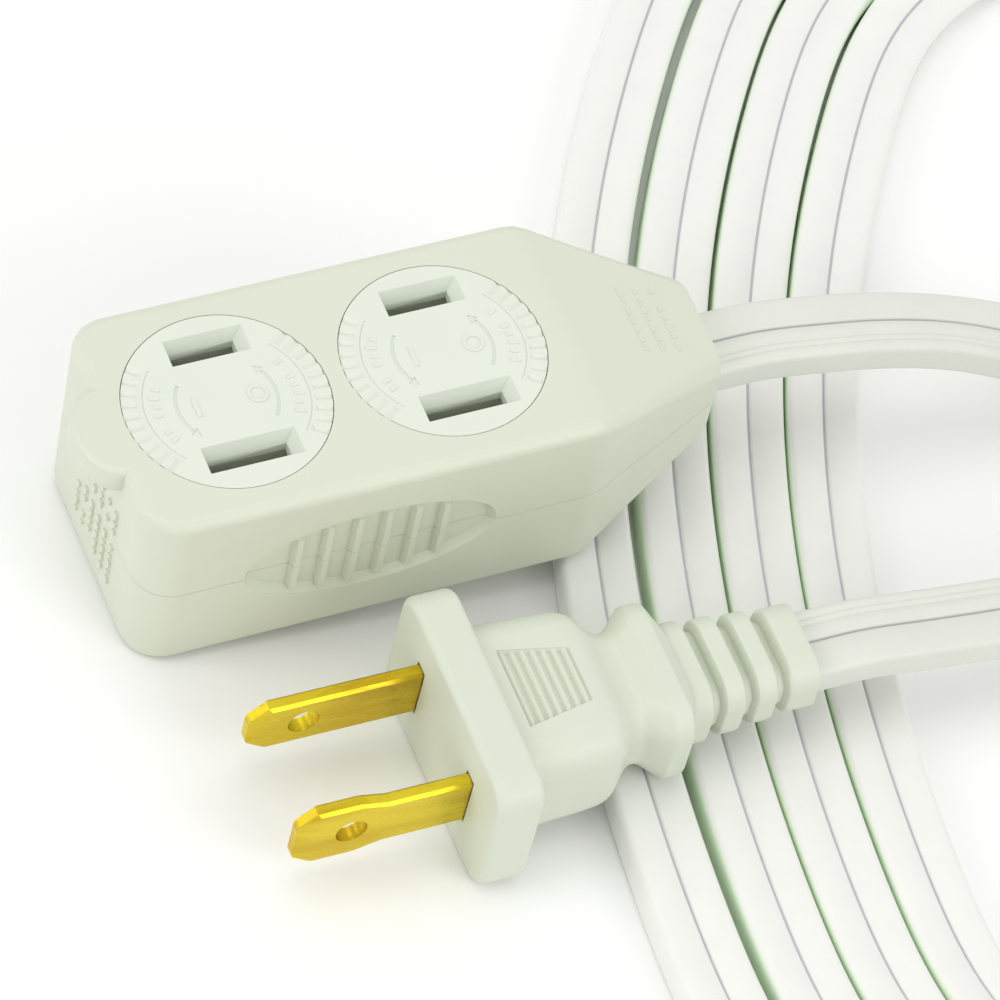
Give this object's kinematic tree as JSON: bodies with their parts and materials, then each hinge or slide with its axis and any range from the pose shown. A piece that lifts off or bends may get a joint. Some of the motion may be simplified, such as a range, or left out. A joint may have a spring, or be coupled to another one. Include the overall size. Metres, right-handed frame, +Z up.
{
  "type": "extension cord",
  "caption": "Flat white extension cord with a polarised blade plug and an outlet tap with turning safety covers, coiled and tied.",
  "frame": {"origin": "on the table, below the middle of the outlet tap as it lies on the coil", "axes": "+Z up; +X from the tap's closed end to its cord end; +Y to the side of the line blade"},
  "size_m": [0.1792, 0.1833, 0.026],
  "materials": {
    "tap_ivory": "satin moulded plastic, warm white",
    "cover_white": "satin moulded plastic, white",
    "plug_ivory": "soft moulded vinyl, warm white",
    "cord_white": "soft vinyl insulation, white, with a faint sheen",
    "brass": "stamped brass, slightly worn",
    "copper": "bare stranded copper",
    "core_nylon": "moulded nylon",
    "tie_black": "flat vinyl twist tie"
  },
  "bodies": {
    "cord_set": {"tap_top_shell": "tap_ivory", "tap_bottom_shell": "tap_ivory", "line_contact_strip": "brass", "neutral_contact_strip": "brass", "tap_strands_line": "copper", "tap_strands_neutral": "copper", "tap_lead_line": "cord_white", "tap_lead_neutral": "cord_white", "plug_body": "plug_ivory", "plug_core": "core_nylon", "plug_blade_line": "brass", "plug_blade_neutral": "brass", "plug_strands_line": "copper", "plug_strands_neutral": "copper", "plug_lead_line": "cord_white", "plug_lead_neutral": "cord_white", "cord_from_tap": "cord_white", "cord_to_plug": "cord_white", "cord_coil": "cord_white", "coil_tie": "tie_black"},
    "cover_1": {"cover_disc_1": "cover_white"},
    "cover_2": {"cover_disc_2": "cover_white"},
    "cover_3": {"cover_disc_3": "cover_white"}
  },
  "joints": [
    {"name": "cover_1_turn", "type": "hinge", "parent": "cord_set", "child": "cover_1", "pos_m": [-0.01822, 0, 0.0229], "axis": [-0.0906, 0, 0.9959], "range_deg": [0, 90]},
    {"name": "cover_2_turn", "type": "hinge", "parent": "cord_set", "child": "cover_2", "pos_m": [0.00379, 0, 0.0249], "axis": [-0.0906, 0, 0.9959], "range_deg": [0, 90]},
    {"name": "cover_3_turn", "type": "hinge", "parent": "cord_set", "child": "cover_3", "pos_m": [-0.00522, 0, 0.00199], "axis": [0.0906, 0, -0.9959], "range_deg": [0, 90]}
  ]
}
